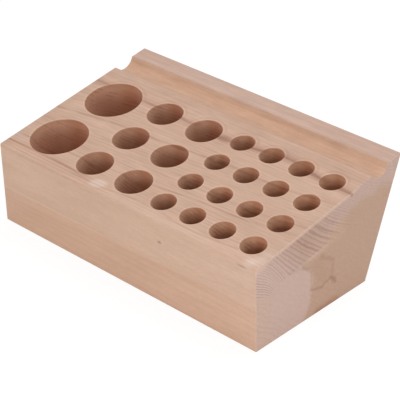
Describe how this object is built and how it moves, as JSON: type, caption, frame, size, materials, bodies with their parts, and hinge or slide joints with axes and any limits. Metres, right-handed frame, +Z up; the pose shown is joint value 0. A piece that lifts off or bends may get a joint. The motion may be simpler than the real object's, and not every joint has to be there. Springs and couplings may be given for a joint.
{
  "type": "tool holder block",
  "caption": "Sloping beech block with round sockets of three sizes that hold hand tools upright, and a pencil flute along its back.",
  "frame": {"origin": "under the middle of the block's bounding box, on the plane it stands on", "axes": "+X along the block towards the small sockets, +Y from the front face to the high back, +Z up"},
  "size_m": [0.275, 0.1661, 0.0997],
  "materials": {
    "upper_beech": "sanded, unvarnished",
    "lower_beech": "sanded, unvarnished"
  },
  "bodies": {
    "root": {"upper_board": "upper_beech", "lower_board": "lower_beech"}
  },
  "joints": []
}
